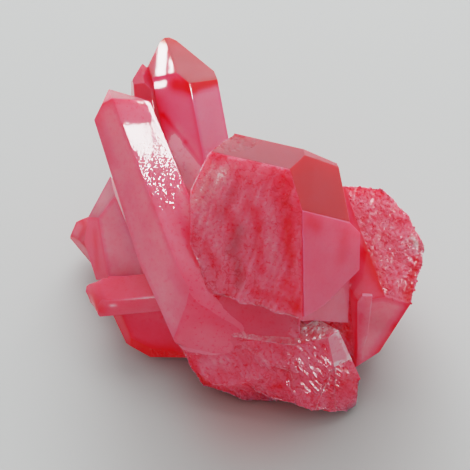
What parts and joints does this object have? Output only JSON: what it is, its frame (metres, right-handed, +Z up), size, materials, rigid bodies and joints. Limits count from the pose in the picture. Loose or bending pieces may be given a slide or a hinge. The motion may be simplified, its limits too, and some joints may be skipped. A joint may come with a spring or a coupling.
{
  "type": "aura quartz cluster",
  "caption": "Cluster of dyed rock-crystal blades and broken faceted blocks grown together on a rough mass, resting on a flat cut.",
  "frame": {"origin": "on the resting plane, under the middle of the bounding box", "axes": "+Z up, -Y towards the viewer who faces the big broken crystal, +X to that viewer's right"},
  "size_m": [0.0772, 0.0651, 0.047],
  "materials": {
    "dyed_quartz": "clear to milky quartz dyed pink and red, glossy growth faces, rough broken faces"
  },
  "bodies": {
    "root": {"crystal_cluster": "dyed_quartz"}
  },
  "joints": []
}
